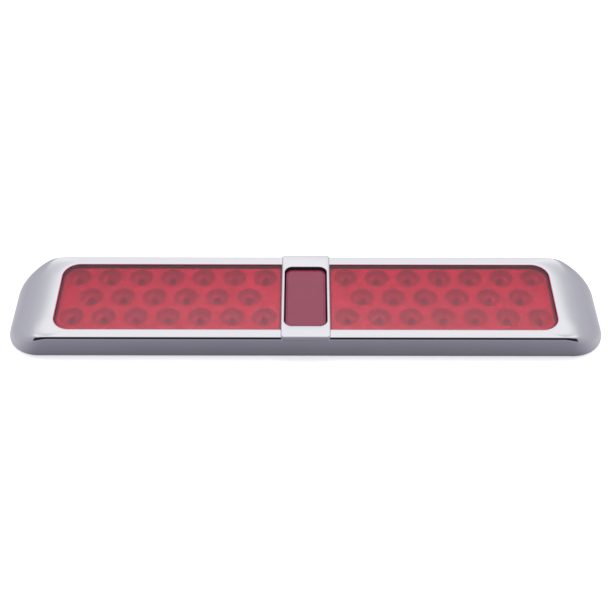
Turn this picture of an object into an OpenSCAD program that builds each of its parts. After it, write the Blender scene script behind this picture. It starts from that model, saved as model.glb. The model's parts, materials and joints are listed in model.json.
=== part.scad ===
// Third brake light: a long chrome housing with two red lenses, a chrome saddle across
// the middle with a red reflector in it, two lamp boards, and a closed back with threaded
// inserts and a power inlet. The origin is at the centre of the mounting plane, +X runs
// along the light, +Y points to the upper edge once it is fitted, and +Z points out of
// the lenses.

/* [Housing] */
// Overall length of the chrome housing
body_l = 372.2; // [366:0.2:380]
// Overall width of the chrome housing at its base
body_w = 72.2; // [71:0.2:73]
// Height of the flat top above the mounting plane
body_h = 16.5; // [16.5:0.1:18]
// Corner radius of the base outline
corner_r = 21; // [19:0.1:22]
// Roundness of the domed ends: 1 is a straight slope, 2 is a quarter ellipse
dome_power = 1.85; // [1.6:0.05:2]
// How quickly an end's dome fades out round the corner: less keeps the dome for longer
corner_blend = 0.76; // [0.6:0.01:0.9]
// How far the fading runs on along the long walls, past the corner
blend_lead = 6; // [4:0.5:9]
// How far the long walls lean in from the base to the top
wall_draft = 0.5; // [0.3:0.05:0.7]
// Depth of the groove that runs under the top edge
groove_depth = 1.1; // [0.6:0.1:1.3]

/* [Window] */
// Length of the window
window_l = 312.2; // [311.8:0.2:313.4]
// Width of the window
window_w = 57.8; // [57.6:0.1:58]
// Corner radius of the window
window_r = 10.7; // [9:0.1:12]
// How far the lens face lies below the flat top
lens_recess = 0.9; // [0.8:0.05:1]

/* [Saddle] */
// Width of the saddle that bridges the window
saddle_w = 30.8; // [30.6:0.1:32]
// How far the saddle stands proud of the housing
saddle_proud = 1.2; // [0.8:0.05:1.4]
// Corner radius of the saddle, seen from above
saddle_r = 2.2; // [1.5:0.1:3]
// Size of the opening that frames the reflector, across the saddle
frame_w = 26.8; // [26.4:0.1:27]
// Size of the opening that frames the reflector, along the saddle
frame_l = 52.7; // [52:0.1:53.4]
// Corner radius of that opening
frame_r = 5; // [4:0.1:6]
// How far the opening sits from the middle, towards the lower edge
frame_shift = 0.9; // [0:0.1:1]

/* [Lamps] */
// Distance from one lamp to the next in a row
lamp_pitch = 20; // [19.6:0.1:20.2]
// Lamps in the two outer rows of a panel
lamps_outer = 7; // [5:2:7]
// Radius of a cup at its mouth
cup_r = 7.8; // [7:0.1:8.2]
// How far the rows sit from the middle of the window, towards the upper edge
lamp_shift = 1.5; // [0:0.1:1.6]

/* [Mounting] */
// Distance between the two mounting inserts
insert_spacing = 320; // [318:0.5:322]
// Radius of the tapped hole in an insert (M5)
insert_hole_r = 2.1; // [2:0.05:2.2]
// Thickness of the foam gasket as fitted
gasket_t = 1.2; // [1:0.1:1.4]

/* [Hidden] */

// Half sizes of the base outline and of the window
half_l = body_l / 2;
half_w = body_w / 2;
win_x = window_l / 2;
win_y = window_w / 2;

// Housing shell: the rim round the window, its rounded inner edge, the thin skirt that
// takes the back plate, and the step above it
rim_t = 2.2;
rim_z = body_h - rim_t;
edge_r = 0.6;
edge_cut = edge_r * 0.3;
skirt_end = 3.6;
skirt_side = 2.3;
skirt_r = corner_r - 2.6;
step_w = 1.5;
step_r = corner_r - 4;
step_z = 4;
groove_z = 14.5;
groove_h = 1.7;

// Heights of the stack from the mounting plane up to the lens
plate_z = gasket_t;
plate_t = 1.8;
floor_z = plate_z + plate_t;
seal_t = step_z - floor_z;
board_z = 5.4;
board_t = 1.6;
board_top = board_z + board_t;
cup_z = 9.1;
cup_top = 12.7;
lens_under = 12.9;
lens_face = body_h - lens_recess;
flange_z = 12.2;
flange_top = 13.8;
lens_seal_t = 0.35;
flange_lap_side = 2.6;
flange_lap_end = 2;
gap = 0.3;

// Saddle: outer skin, tray that hangs in the window, and lips over the long walls
saddle_top = body_h + saddle_proud;
lip_in = half_w - 0.3;
lip_out = half_w + 0.4;
lip_z = 13.6;
tray_x = saddle_w / 2 - 0.1;
tray_y = 28.4;
tray_floor_z = 10;
tray_floor_t = 1.4;
saddle_boss_r = 3;
saddle_screw_y = 18;
pad_t = 1;
reflector_t = 3.6;
reflector_gap = 0.6;
reflector_step = 0.4;

// Panels: the span of one lens between the saddle and the end of the window
panel_x0 = saddle_w / 2 + gap;
panel_x1 = win_x - gap;
panel_mid = (saddle_w / 2 + win_x) / 2;
row_step = lamp_pitch * sqrt(3) / 2;

// Places of the lamps in one panel, measured from the panel's middle
LAMPS = [
    for (row = [-1:1])
        let (count = row == 0 ? lamps_outer - 1 : lamps_outer)
            for (k = [0:count - 1])
                [(k - (count - 1) / 2) * lamp_pitch, row * row_step + lamp_shift]
];

// Places of the screws that hold a board to its cup plate: the free spots between cups
BOARD_SCREWS = [
    for (sx = [-1, 1])
        for (sy = [-1, 1])
            [sx * 1.5 * lamp_pitch, sy * row_step * 2 / 3 + lamp_shift]
];

// Places of the screws that hold the back plate to the housing
side_screw_y = 29.9;
end_screw_x = half_l - 10.2;
end_screw_y = 13;
PLATE_SCREWS = concat(
    [for (x = [-130, -48, 48, 130]) for (sy = [-1, 1]) [x, sy * side_screw_y]],
    [for (sx = [-1, 1]) for (sy = [-1, 1]) [sx * end_screw_x, sy * end_screw_y]]
);
boss_r = 2.6;
boss_top = 8.4;
screw_r = 1.25;
screw_head_r = 2.2;
screw_head_t = 1.6;
pocket_r = 2.6;
pocket_z = floor_z;
screw_len = 5;
saddle_screw_len = 6.5;
board_screw_r = 1;
board_screw_head_r = 1.8;
board_screw_head_t = 1.1;
thread_play = 0.05;
hole_play = 0.3;

// Raised pads round the back plate's screw holes, which the bosses above stand on
pad_r = 3.6;
saddle_pad_r = 4;
pad_top = floor_z + 1.4;

// Mounting inserts and the bosses round them
insert_r = 3.5;
insert_len = 9.5;
insert_boss_r = 5;
insert_boss_top = 11.2;

// Power inlet
inlet_w = 19;
inlet_l = 11;
inlet_wall = 1.8;
inlet_roof_z = 7.2;
inlet_top = 8.4;
inlet_flange = 2;
inlet_flange_z = 3.4;
inlet_flange_t = 1.2;
blade_x = 5;
blade_w = 2.8;
blade_t = 0.8;
blade_z = 2.6;
tab_x = inlet_w / 2 + 1.9;
tab_t = 0.5;
inlet_play = 0.2;

// Gasket ring
gasket_x = 171.5;
gasket_y = 26.4;
gasket_band = 6;
gasket_r = 12;

$fn = 48;

// ---------------------------------------------------------------- outlines and sweeps

// A closed ring of stations runs round the light. A quarter of it goes from the middle of
// one end, round the corner and along the long side; the other quarters mirror it.
arc_steps = 10;
end_steps = [0, 0.5];
side_steps = [0.012, 0.025, 0.037, 0.5];

function reversed(list) = [for (i = [len(list) - 1:-1:0]) list[i]];
function inner_part(list) = [for (i = [1:len(list) - 2]) list[i]];

function quarter(a, b, r) = concat(
    [for (t = end_steps) [a, (b - r) * t]],
    [for (i = [0:arc_steps]) let (g = 90 * i / arc_steps) [a - r + r * cos(g), b - r + r * sin(g)]],
    [for (t = side_steps) [(a - r) * (1 - t), b]]
);
function half_ring(q, mid) = concat(q, [mid], reversed([for (p = q) [-p[0], p[1]]]));
function mirror_half(h) = concat(h, reversed([for (p = inner_part(h)) [p[0], -p[1]]]));
function ring(a, b, r) = mirror_half(half_ring(quarter(a, b, r), [0, b]));

// One value per station, in the same order
function spread(q, mid) =
    let (h = concat(q, [mid], reversed(q))) concat(h, reversed(inner_part(h)));

// 1 where the section is a domed end, 0 where it is a long wall, and in between by the
// run along the outline from the corner's start
corner_run = corner_r * PI / 2;
function ease(t) = t * t * (3 - 2 * t);
function end_share(run) = ease(pow(max(run + blend_lead, 0) / (corner_run + blend_lead), corner_blend));
END_SHARE = spread(concat(
    [for (t = end_steps) 1],
    [for (i = [0:arc_steps]) end_share(corner_run * (1 - i / arc_steps))],
    [for (t = side_steps) end_share(-t * (half_l - corner_r))]
), 0);
// 1 where the groove runs
GROOVE = spread(concat(
    [for (t = end_steps) 0],
    [for (i = [0:arc_steps - 1]) 0],
    [1],
    [for (t = side_steps) 1]
), 1);

BASE = ring(half_l, half_w, corner_r);
SKIRT = ring(half_l - skirt_end, half_w - skirt_side, skirt_r);
STEP = ring(half_l - skirt_end - step_w, half_w - skirt_side - step_w, step_r);
RIM = ring(win_x + edge_r, win_y + edge_r, window_r + edge_r);
RIM_EDGE = ring(win_x + edge_cut, win_y + edge_cut, window_r + edge_cut);
WINDOW = ring(win_x, win_y, window_r);

// Section of a long wall, from the base to the flat top: inset from the base and height
margin = half_w - win_y - edge_r;
WALL = [
    [0, 0],
    [wall_draft * 0.1, 5],
    [wall_draft * 0.35, 10],
    [wall_draft * 0.75, groove_z - 0.15],
    [wall_draft, groove_z],
    [wall_draft, groove_z + groove_h],
    [wall_draft, groove_z + groove_h + 0.1],
    [wall_draft + 0.05, body_h - 0.15],
    [wall_draft + 0.2, body_h],
    [margin * 0.45, body_h],
    [margin * 0.7, body_h],
    [margin, body_h]
];
WALL_GROOVE = [0, 0, 0, 0, 1, 1, 0, 0, 0, 0, 0, 0];
top_k = len(WALL) - 1;

// Section of the inner side, from the window's lower edge down to the step: share of the
// way out to the step, and height
INNER = [[0.35, rim_z], [0.7, rim_z], [0.9, rim_z], [1, rim_z - 0.4], [1, 11], [1, 8], [1, step_z]];
INNER_ANGLE = [76, 62, 48, 36, 24, 12, 0];

function dome(angle) = [pow(cos(angle), 2 / dome_power), pow(sin(angle), 2 / dome_power)];
function mix3(a, b, t) = a + (b - a) * t;
function at(p, z) = [p[0], p[1], z];

function outer_point(i, k) =
    let (
        wall_share = 1 - (WALL[k][0] + GROOVE[i] * WALL_GROOVE[k] * groove_depth) / margin,
        d = dome(90 * k / top_k),
        share = mix3(wall_share, d[0], END_SHARE[i]),
        z = mix3(WALL[k][1], body_h * d[1], END_SHARE[i])
    ) at(mix3(RIM[i], BASE[i], share), z);

function inner_point(i, k) =
    let (
        d = dome(INNER_ANGLE[k]),
        share = mix3(INNER[k][0], d[0], END_SHARE[i]),
        z = mix3(INNER[k][1], step_z + (rim_z - step_z) * d[1], END_SHARE[i])
    ) at(mix3(WINDOW[i], STEP[i], share), z);

SHELL = concat(
    [for (k = [0:top_k]) [for (i = [0:len(BASE) - 1]) outer_point(i, k)]],
    [[for (p = RIM_EDGE) at(p, body_h - edge_cut)]],
    [[for (p = WINDOW) at(p, body_h - edge_r)]],
    [[for (p = WINDOW) at(p, rim_z)]],
    [for (k = [0:len(INNER) - 1]) [for (i = [0:len(BASE) - 1]) inner_point(i, k)]],
    [[for (p = SKIRT) at(p, step_z)]],
    [[for (p = SKIRT) at(p, 0)]]
);

// A closed skin over a list of rings; the last ring joins the first when it is a loop, and
// the two ends are capped when it is a tube
module skin(rings, loop) {
    n = len(rings[0]);
    m = len(rings);
    points = [for (r = rings) for (p = r) p];
    sides = [
        for (k = [0:loop ? m - 1 : m - 2])
            for (i = [0:n - 1])
                let (
                    a = k * n + i,
                    b = k * n + (i + 1) % n,
                    c = ((k + 1) % m) * n + (i + 1) % n,
                    d = ((k + 1) % m) * n + i
                )
                    each [[a, c, b], [a, d, c]]
    ];
    caps = loop ? [] : [[for (i = [0:n - 1]) i], [for (i = [n - 1:-1:0]) (m - 1) * n + i]];
    polyhedron(points, concat(sides, caps));
}

// A round wire along a smooth curve through four control points
wire_sides = 8;
wire_rings = 14;
function bezier(p, t) =
    p[0] * pow(1 - t, 3) + p[1] * 3 * t * pow(1 - t, 2) + p[2] * 3 * t * t * (1 - t) + p[3] * pow(t, 3);
function unit(v) = v / norm(v);
function wire_ring(p, t, r) =
    let (
        along = unit(bezier(p, min(t + 0.01, 1)) - bezier(p, max(t - 0.01, 0))),
        side = unit(cross(along, [0.31, 0.17, 0.94])),
        up = cross(side, along)
    ) [for (i = [0:wire_sides - 1])
        let (g = -360 * i / wire_sides) bezier(p, t) + r * (side * cos(g) + up * sin(g))];
module wire(p, r) {
    skin([for (k = [0:wire_rings]) wire_ring(p, k / wire_rings, r)], false);
}

// A flat rounded plate centred on the origin, given by half sizes
module plate(a, b, r, z, t) {
    translate([0, 0, z])
        linear_extrude(t)
            hull()
                for (sx = [-1, 1])
                    for (sy = [-1, 1])
                        translate([sx * (a - r), sy * (b - r)])
                            circle(r);
}

// A plate with square inner corners and rounded outer ones, from x0 to x1
module panel(x0, x1, b, r, z, t) {
    translate([0, 0, z])
        linear_extrude(t)
            union() {
                translate([x0, -b])
                    square([x1 - r - x0, 2 * b]);
                translate([x0, -(b - r)])
                    square([x1 - x0, 2 * (b - r)]);
                for (sy = [-1, 1])
                    translate([x1 - r, sy * (b - r)])
                        circle(r);
            }
}

module both_sides(side) {
    mirror([side < 0 ? 1 : 0, 0, 0])
        children();
}

// -------------------------------------------------------------------- housing and saddle

module chrome_housing() {
    color("gainsboro")
        difference() {
            union() {
                skin(SHELL, true);
                for (p = PLATE_SCREWS)
                    translate([p[0], p[1], pad_top])
                        cylinder(r = boss_r, h = boss_top - pad_top);
            }
            for (p = PLATE_SCREWS)
                translate([p[0], p[1], 0])
                    cylinder(r = screw_r + thread_play, h = boss_top - 0.2);
        }
}

// The saddle from the front lip over the top to the back lip, with rounded corners
module saddle_strap() {
    corner = 0.9;
    intersection() {
        rotate([90, 0, 90])
            translate([0, 0, -saddle_w])
                linear_extrude(2 * saddle_w)
                    difference() {
                        union() {
                            translate([-lip_out + corner, body_h])
                                square([2 * (lip_out - corner), saddle_proud]);
                            translate([-lip_out, lip_z])
                                square([2 * lip_out, saddle_top - corner - lip_z]);
                            for (s = [-1, 1])
                                translate([s * (lip_out - corner), saddle_top - corner])
                                    circle(corner);
                        }
                        translate([-lip_in, lip_z - 1])
                            square([2 * lip_in, body_h - lip_z + 1]);
                    }
        plate(saddle_w / 2, lip_out, saddle_r, 0, saddle_top + 1);
    }
}

module centre_saddle() {
    color("gainsboro")
        difference() {
            union() {
                saddle_strap();
                translate([-tray_x, -tray_y, tray_floor_z])
                    cube([2 * tray_x, 2 * tray_y, body_h - tray_floor_z + 0.2]);
                for (s = [-1, 1])
                    translate([0, s * saddle_screw_y, pad_top])
                        cylinder(r = saddle_boss_r, h = tray_floor_z - pad_top + 0.5);
            }
            translate([0, -frame_shift, 0])
                plate(frame_w / 2, frame_l / 2, frame_r, tray_floor_z + tray_floor_t, 20);
            for (s = [-1, 1])
                translate([0, s * saddle_screw_y, 0])
                    cylinder(r = screw_r + thread_play, h = tray_floor_z + 0.4);
        }
}

module centre_reflector() {
    z = tray_floor_z + tray_floor_t + pad_t;
    a = frame_w / 2 - reflector_gap;
    b = frame_l / 2 - reflector_gap;
    r = frame_r - reflector_gap;
    color("darkred")
        translate([0, -frame_shift, z]) {
            plate(a, b, r, 0, reflector_t - reflector_step);
            translate([0, 0, reflector_t - reflector_step])
                plate(a - reflector_step, b - reflector_step, r - reflector_step, 0, reflector_step);
        }
}

module reflector_pad() {
    inset = reflector_gap + 1;
    color("dimgray")
        translate([0, -frame_shift, tray_floor_z + tray_floor_t])
            plate(frame_w / 2 - inset, frame_l / 2 - inset, 3, 0, pad_t);
}

// ------------------------------------------------------------------------ lenses and lamps

module lens(side) {
    x_lap = win_x + flange_lap_end;
    y_lap = win_y + flange_lap_side;
    inset = 1.2;
    color("red")
        both_sides(side)
            union() {
                panel(
                    panel_x0,
                    panel_x1,
                    win_y - gap,
                    window_r - gap,
                    lens_under,
                    lens_face - lens_under
                );
                difference() {
                    panel(panel_x0, x_lap, y_lap, window_r + 2, flange_z, flange_top - flange_z);
                    panel(panel_x0 - 1, win_x - inset, win_y - inset, window_r - inset, 0, lens_under);
                }
            }
}

module lens_seal(side) {
    color("black")
        both_sides(side)
            difference() {
                panel(panel_x0, win_x + 1.8, win_y + 2.4, window_r + 2, flange_top, lens_seal_t);
                panel(panel_x0 - 1, win_x + 0.2, win_y + 0.2, window_r, flange_top - 1, 3);
            }
}

// One lamp cup: a curved bowl from its throat up to its mouth
throat_r = 3;
cup_curve = 5;
cup_power = 0.55;
cup_inset = 1.6;
cup_boss_r = 2.4;
module cup() {
    translate([0, 0, cup_z])
        rotate_extrude()
            polygon(concat(
                [[0, -1], [throat_r, -1]],
                [for (k = [0:cup_curve])
                    let (t = k / cup_curve)
                        [throat_r + (cup_r - throat_r) * pow(t, cup_power), (cup_top - cup_z) * t]],
                [[cup_r, cup_top - cup_z + 1], [0, cup_top - cup_z + 1]]
            ));
}

module cup_plate(side) {
    color("silver")
        both_sides(side)
            difference() {
                union() {
                    panel(
                        panel_x0 + gap,
                        win_x - cup_inset,
                        win_y - cup_inset,
                        window_r - cup_inset,
                        cup_z,
                        cup_top - cup_z
                    );
                    for (p = BOARD_SCREWS)
                        translate([panel_mid + p[0], p[1], board_top])
                            cylinder(r = cup_boss_r, h = cup_z - board_top + 0.5);
                }
                for (p = LAMPS)
                    translate([panel_mid + p[0], p[1], 0])
                        cup();
                for (p = BOARD_SCREWS)
                    translate([panel_mid + p[0], p[1], 0])
                        cylinder(r = board_screw_r + thread_play, h = cup_top - 1);
            }
}

// A square lamp body with a clear dome
lamp_side = 7.6;
lamp_body_t = 1.9;
dome_r = 2.4;
module lamp() {
    translate([-lamp_side / 2, -lamp_side / 2, board_top])
        cube([lamp_side, lamp_side, lamp_body_t]);
    translate([0, 0, board_top + lamp_body_t - 0.2])
        cylinder(r = dome_r, h = 0.7);
    translate([0, 0, board_top + lamp_body_t + 0.5])
        intersection() {
            sphere(dome_r);
            cylinder(r = dome_r + 1, h = dome_r + 1);
        }
}

module lamps(side) {
    color("lightyellow")
        both_sides(side)
            for (p = LAMPS)
                translate([panel_mid + p[0], p[1], 0])
                    lamp();
}

board_x0 = panel_x0 + 1.6;
board_x1 = 152;
board_y = 25.5;
module circuit_board(side) {
    color("darkgreen")
        both_sides(side)
            difference() {
                translate([(board_x0 + board_x1) / 2, 0, 0])
                    plate((board_x1 - board_x0) / 2, board_y, 2, board_z, board_t);
                for (p = BOARD_SCREWS)
                    translate([panel_mid + p[0], p[1], 0])
                        cylinder(r = board_screw_r + hole_play, h = board_top + 1);
            }
}

// A small pan head screw pointing up, with its head's top face at z = 0
module screw(r, head_r, head_t, length) {
    slot_w = 0.6;
    difference() {
        translate([0, 0, -head_t])
            cylinder(r = head_r, h = head_t);
        for (turn = [0, 90])
            rotate(turn)
                translate([-head_r * 0.6, -slot_w / 2, -head_t - 1])
                    cube([head_r * 1.2, slot_w, 1 + head_t / 2]);
    }
    cylinder(r = r, h = length);
}

module board_screws() {
    color("goldenrod")
        for (side = [-1, 1])
            both_sides(side)
                for (p = BOARD_SCREWS)
                    translate([panel_mid + p[0], p[1], board_z])
                        screw(board_screw_r, board_screw_head_r, board_screw_head_t, screw_len);
}

resistor_w = 6.3;
resistor_l = 3.2;
resistor_t = 0.7;
module resistors(side) {
    color("dimgray")
        both_sides(side)
            for (k = [0:3])
                translate([
                    panel_mid + (k - 1.5) * 1.5 * lamp_pitch - resistor_w / 2,
                    -row_step / 2 + lamp_shift - resistor_l / 2,
                    board_z - resistor_t
                ])
                    cube([resistor_w, resistor_l, resistor_t]);
}

module diodes() {
    color("black")
        for (side = [-1, 1])
            both_sides(side)
                translate([board_x0 + 8, 8, board_z - 2.1])
                    cube([4.4, 2.6, 2.1]);
}

// -------------------------------------------------------------------------------- wiring

wire_r = 0.75;
module jumper_wires() {
    solder = wire_r + 0.05;
    for (k = [-1, 1])
        color(k < 0 ? "black" : "red")
            wire([
                [-board_x0 - 3, k * 1.8 - 10.5, board_top + solder],
                [-board_x0 + 8, k * 1.8 - 10.5, board_top + solder + 1.2],
                [board_x0 - 8, k * 1.8 - 10.5, board_top + solder + 1.2],
                [board_x0 + 3, k * 1.8 - 10.5, board_top + solder]
            ], wire_r);
}

// From the tabs of the inlet to the pads at the inner edge of the left board
module supply_wires() {
    under_tab = inlet_top - wire_r - 0.05;
    for (k = [-1, 1])
        color(k < 0 ? "black" : "red")
            wire([
                [k * (tab_x - wire_r), -1, under_tab],
                [k * (tab_x + wire_r), k < 0 ? 6 : 14, under_tab],
                [k < 0 ? -board_x0 + 3 : 2, k < 0 ? 7 : 14, under_tab],
                [-board_x0 - 3, k < 0 ? 7 : 11, board_top + wire_r + 0.05]
            ], wire_r);
}

// ------------------------------------------------------------------------------ back plate

plate_a = half_l - skirt_end - gap;
plate_b = half_w - skirt_side - gap;
plate_r = corner_r - 2.4;
sink = 0.5;
seal_band = 1.6;
module back_plate() {
    color("darkslategray")
        difference() {
            union() {
                plate(plate_a, plate_b, plate_r, plate_z, plate_t);
                intersection() {
                    plate(plate_a - seal_band, plate_b - seal_band, plate_r - seal_band, plate_z, 10);
                    union() {
                        for (p = PLATE_SCREWS)
                            translate([p[0], p[1], floor_z - sink])
                                cylinder(r = pad_r, h = pad_top - floor_z + sink);
                        for (s = [-1, 1])
                            translate([0, s * saddle_screw_y, floor_z - sink])
                                cylinder(r = saddle_pad_r, h = pad_top - floor_z + sink);
                    }
                }
                for (sx = [-1, 1])
                    translate([sx * insert_spacing / 2, 0, 0])
                        cylinder(r = insert_boss_r, h = insert_boss_top);
                board_posts();
            }
            for (p = concat(PLATE_SCREWS, [[0, -saddle_screw_y], [0, saddle_screw_y]]))
                translate([p[0], p[1], 0]) {
                    cylinder(r = pocket_r, h = pocket_z);
                    cylinder(r = screw_r + hole_play, h = floor_z + 3);
                }
            for (sx = [-1, 1])
                translate([sx * insert_spacing / 2, 0, -1])
                    cylinder(r = insert_r, h = insert_len + 1);
            inlet_hole();
        }
}

// Posts that carry the boards, and the ribs that tie them across the plate
POST_X = [24, 70, 102, 148];
post_y = 22.5;
post_r = 2.5;
rib_t = 1.6;
rib_h = 1;
module board_posts() {
    for (sx = [-1, 1])
        for (x = POST_X) {
            for (sy = [-1, 1])
                translate([sx * x, sy * post_y, floor_z - sink])
                    cylinder(r = post_r, h = board_z - floor_z + sink);
            translate([sx * x - rib_t / 2, -post_y, floor_z - sink])
                cube([rib_t, 2 * post_y, rib_h + sink]);
        }
}

module back_plate_seal() {
    band = 1.4;
    color("black")
        difference() {
            plate(plate_a, plate_b, plate_r, floor_z, seal_t);
            plate(plate_a - band, plate_b - band, plate_r - band, floor_z - 1, seal_t + 2);
        }
}

module back_plate_screws() {
    color("silver")
        for (p = PLATE_SCREWS)
            translate([p[0], p[1], pocket_z])
                screw(screw_r, screw_head_r, screw_head_t, screw_len);
}

module saddle_screws() {
    color("silver")
        for (s = [-1, 1])
            translate([0, s * saddle_screw_y, pocket_z])
                screw(screw_r, screw_head_r, screw_head_t, saddle_screw_len);
}

module mounting_inserts() {
    color("gold")
        for (sx = [-1, 1])
            translate([sx * insert_spacing / 2, 0, 0])
                difference() {
                    cylinder(r = insert_r, h = insert_len);
                    translate([0, 0, -1])
                        cylinder(r = insert_hole_r, h = insert_len + 2);
                    for (z = [2.6, 5.6])
                        translate([0, 0, z])
                            difference() {
                                cylinder(r = insert_r + 1, h = 1);
                                translate([0, 0, -1])
                                    cylinder(r = insert_r - 0.5, h = 3);
                            }
                }
}

module inlet_hole() {
    plate_hole_w = inlet_w + 2 * inlet_play;
    plate_hole_l = inlet_l + 2 * inlet_play;
    translate([-plate_hole_w / 2, -plate_hole_l / 2, 0])
        cube([plate_hole_w, plate_hole_l, 10]);
}

module power_inlet() {
    color("dimgray")
        difference() {
            union() {
                translate([-inlet_w / 2, -inlet_l / 2, plate_z])
                    cube([inlet_w, inlet_l, inlet_top - plate_z]);
                translate([-inlet_w / 2 - inlet_flange, -inlet_l / 2 - inlet_flange, inlet_flange_z])
                    cube([inlet_w + 2 * inlet_flange, inlet_l + 2 * inlet_flange, inlet_flange_t]);
            }
            translate([-inlet_w / 2 + inlet_wall, -inlet_l / 2 + inlet_wall, 0])
                cube([inlet_w - 2 * inlet_wall, inlet_l - 2 * inlet_wall, inlet_roof_z]);
            for (s = [-1, 1])
                translate([s * blade_x - blade_t / 2, -blade_w / 2, 0])
                    cube([blade_t, blade_w, 20]);
        }
}

// Two blades that stand in the inlet, bent over outwards into solder tabs
module inlet_terminals() {
    color("gold")
        for (s = [0, 1])
            mirror([s, 0, 0]) {
                translate([blade_x - blade_t / 2, -blade_w / 2, blade_z])
                    cube([blade_t, blade_w, inlet_top - blade_z + tab_t]);
                translate([blade_x - blade_t / 2, -blade_w / 2, inlet_top])
                    cube([tab_x + blade_t / 2 - blade_x, blade_w, tab_t]);
            }
}

module inlet_seal() {
    color("black")
        difference() {
            translate([-inlet_w / 2 - inlet_flange, -inlet_l / 2 - inlet_flange, floor_z])
                cube([inlet_w + 2 * inlet_flange, inlet_l + 2 * inlet_flange, inlet_flange_z - floor_z]);
            inlet_hole();
        }
}

module mounting_gasket() {
    hole_x = gasket_x - gasket_band;
    hole_y = gasket_y - gasket_band;
    color("black")
        difference() {
            plate(gasket_x, gasket_y, gasket_r, 0, gasket_t);
            plate(hole_x, hole_y, gasket_r - gasket_band, -1, gasket_t + 2);
        }
}

// --------------------------------------------------------------------------------- output

chrome_housing();
centre_saddle();
saddle_screws();
centre_reflector();
reflector_pad();
lens(-1);  // lens_left
lens(1);  // lens_right
lens_seal(-1);  // lens_seal_left
lens_seal(1);  // lens_seal_right
cup_plate(-1);  // cup_plate_left
cup_plate(1);  // cup_plate_right
lamps(-1);  // lamps_left
lamps(1);  // lamps_right
circuit_board(-1);  // circuit_board_left
circuit_board(1);  // circuit_board_right
board_screws();
resistors(-1);  // resistors_left
resistors(1);  // resistors_right
diodes();
jumper_wires();
supply_wires();
back_plate();
back_plate_seal();
back_plate_screws();
mounting_inserts();
power_inlet();
inlet_terminals();
inlet_seal();
mounting_gasket();
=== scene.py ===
"""Third brake light: the looks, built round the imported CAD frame. All shapes are in
millimetres in the frame's own axes and go into Blender in metres."""

import json
import math

import bmesh
import bpy
import numpy as np

from mathutils import Euler, Matrix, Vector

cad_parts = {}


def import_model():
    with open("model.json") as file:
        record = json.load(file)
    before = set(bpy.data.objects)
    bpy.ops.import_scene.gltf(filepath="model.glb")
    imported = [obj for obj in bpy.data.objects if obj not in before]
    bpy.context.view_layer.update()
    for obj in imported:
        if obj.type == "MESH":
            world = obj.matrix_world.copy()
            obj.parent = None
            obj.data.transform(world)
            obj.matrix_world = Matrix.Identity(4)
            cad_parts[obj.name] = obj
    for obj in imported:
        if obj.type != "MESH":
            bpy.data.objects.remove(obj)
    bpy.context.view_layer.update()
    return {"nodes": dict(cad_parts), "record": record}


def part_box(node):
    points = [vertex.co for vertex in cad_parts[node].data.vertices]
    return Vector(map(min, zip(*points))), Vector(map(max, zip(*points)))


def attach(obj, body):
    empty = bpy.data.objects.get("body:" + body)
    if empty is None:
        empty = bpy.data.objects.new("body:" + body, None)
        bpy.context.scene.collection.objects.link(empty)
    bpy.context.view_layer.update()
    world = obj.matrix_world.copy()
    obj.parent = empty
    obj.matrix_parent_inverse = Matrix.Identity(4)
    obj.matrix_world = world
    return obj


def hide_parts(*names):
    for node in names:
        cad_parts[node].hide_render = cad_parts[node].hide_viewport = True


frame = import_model()

MM = 0.001


def box_mm(node):
    """Lowest and highest corner of a CAD node, in millimetres."""
    lo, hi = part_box(node)
    return np.array(lo) / MM, np.array(hi) / MM


# ------------------------------------------------------------------ sizes from the frame

HALF_L, HALF_W, BODY_H = box_mm("chrome_housing")[1]
SADDLE_X, SADDLE_Y, SADDLE_TOP = box_mm("centre_saddle")[1]
PLATE_X, PLATE_Y, _ = box_mm("back_plate")[1]
LENS_LO, LENS_HI = box_mm("lens_right")
CUPS_LO, CUPS_HI = box_mm("cup_plate_right")
REFLECTOR_LO, REFLECTOR_HI = box_mm("centre_reflector")
GASKET_LO, GASKET_HI = box_mm("mounting_gasket")
INLET_LO, INLET_HI = box_mm("power_inlet")
INSERT_END, _, INSERT_TOP = box_mm("mounting_inserts")[1]
BOARD_TOP = box_mm("circuit_board_right")[1][2]

# Shape values that the frame's boxes don't say: first the housing
WIN_X, WIN_Y, WIN_R = 156.1, 28.9, 10.7  # half length, half width and corner of the window
CORNER_R = 21.0  # corners of the light's outline
DOME_POWER = 1.85  # 2 makes a domed end's section an ellipse
CORNER_BLEND, BLEND_LEAD = 0.76, 6.0  # how an end fades round a corner, and from how far off
DRAFT = 0.5  # how far the long walls lean in
GROOVE_DEPTH, GROOVE_LOW, GROOVE_HIGH = 1.1, 14.5, 16.15
FOOT_R, LIP_R, EDGE_R = 0.35, 0.42, 0.6  # rounds at the wall's foot and top, and round the window
RIM_Z = BODY_H - 2.2  # underside of the rim
STEP_Z = 4.0  # underside of the step that bears on the back plate's seal
SKIRT_END, SKIRT_SIDE, STEP_W = 3.6, 2.3, 1.5  # thickness of the skirt, width of its step
SKIRT_R, STEP_R = CORNER_R - 2.6, CORNER_R - 4  # corners inside the skirt and the step
SKIRT_BEVEL = 0.25

# Saddle: its corners, the foot of its lips, and the opening over the reflector
SADDLE_R, SADDLE_LIP, SADDLE_EDGE = 2.2, 13.6, 0.8
TRAY_Y, TRAY_Z = 28.4, 10
FRAME_X, FRAME_Y, FRAME_R, FRAME_EDGE = 13.4, 26.35, 5.0, 0.4
FRAME_FLOOR = 11.4
FRAME_SHIFT = (REFLECTOR_HI[1] + REFLECTOR_LO[1]) / 2

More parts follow.
